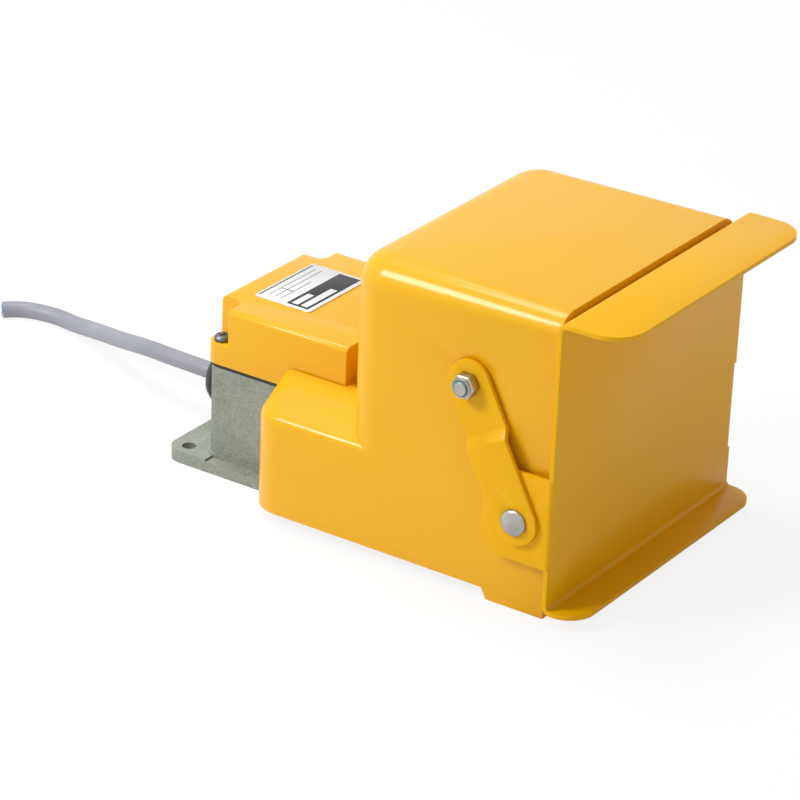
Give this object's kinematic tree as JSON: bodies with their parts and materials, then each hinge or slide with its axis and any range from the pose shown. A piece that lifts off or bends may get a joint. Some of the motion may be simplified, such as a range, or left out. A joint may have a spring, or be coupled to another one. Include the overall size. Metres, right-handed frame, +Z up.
{
  "type": "industrial foot switch",
  "caption": "Guarded floor-mounted foot switch: sprung pedal under a cast hood, lift-up door on link arms, snap-action switch in a sealed case, cable gland and lead.",
  "frame": {"origin": "on the floor, at the centre of the base's four floor holes", "axes": "+Z up, +Y from the door towards the cable gland, +X to the right when seen from the door"},
  "size_m": [0.163, 0.4077, 0.139],
  "materials": {
    "cast_aluminium": "as-cast, shot-blasted, dull grey-green",
    "yellow_paint": "satin stoved enamel on cast metal",
    "yellow_sheet": "satin stoved enamel on sheet steel",
    "black_rubber": "moulded, matt",
    "zinc_steel": "bright zinc plated",
    "dark_steel": "oiled, dark",
    "plate_foil": "anodised foil with a blank black band",
    "bronze": "sintered, oiled",
    "brass": "plain",
    "switch_moulding": "phenolic moulding",
    "plunger_moulding": "moulded",
    "gland_nylon": "nylon, fine satin",
    "cable_jacket": "soft vinyl, satin",
    "wire_jacket": "soft vinyl"
  },
  "bodies": {
    "housing": {"base_casting": "cast_aluminium", "base_gasket": "black_rubber", "switch_cover": "yellow_paint", "cover_screws": "dark_steel", "rating_plate": "plate_foil", "hood": "yellow_paint", "hood_screws": "zinc_steel", "pivot_bolts": "zinc_steel", "pivot_nuts": "zinc_steel", "pivot_washers": "zinc_steel", "shaft_bush_left": "bronze", "shaft_bush_right": "bronze", "shaft_seals": "black_rubber", "microswitch_body": "switch_moulding", "switch_bracket": "zinc_steel", "switch_screws": "zinc_steel", "terminal_screws": "brass", "bracket_screws": "zinc_steel", "gland_body": "gland_nylon", "gland_cap": "gland_nylon", "gland_seal": "black_rubber", "gland_locknut": "gland_nylon", "cable_inner_end": "cable_jacket", "switch_wires": "wire_jacket", "earth_screw": "brass", "return_spring": "zinc_steel", "rubber_stops": "black_rubber", "power_cord": "cable_jacket"},
    "pedal": {"pedal_casting": "cast_aluminium", "pedal_mat": "black_rubber", "mat_screws": "zinc_steel", "pedal_shaft": "zinc_steel", "shaft_clips": "dark_steel", "cam_lever": "dark_steel", "cam_set_screw": "dark_steel"},
    "plunger": {"switch_plunger": "plunger_moulding"},
    "arms": {"link_arm_left": "yellow_sheet", "link_arm_right": "yellow_sheet"},
    "door": {"door_panel": "yellow_sheet", "door_rivets": "zinc_steel"}
  },
  "joints": [
    {"name": "pedal_press", "type": "hinge", "parent": "housing", "child": "pedal", "pos_m": [0, 0.01, 0.026], "axis": [1, 0, 0], "range_deg": [0, 12], "stiffness_Nm_per_rad": 6, "springref_deg": -14.32, "deforming": ["return_spring"]},
    {"name": "plunger_slide", "type": "slide", "parent": "housing", "child": "plunger", "axis": [0, 0, 1], "range_m": [0, 0.003], "stiffness_N_per_m": 200, "springref_m": -0.001},
    {"name": "arm_swing", "type": "hinge", "parent": "housing", "child": "arms", "pos_m": [0, -0.0875, 0.0987], "axis": [-1, 0, 0], "range_deg": [0, 88]},
    {"name": "door_tilt", "type": "hinge", "parent": "arms", "child": "door", "pos_m": [0, -0.1155, 0.0445], "axis": [-1, 0, 0], "range_deg": [-35.3, 0]}
  ],
  "couplings": [
    {"joint": "plunger_slide", "follows": "pedal_press", "m_per_rad": 0.0141},
    {"joint": "door_tilt", "follows": "arm_swing", "ratio": -0.4}
  ]
}
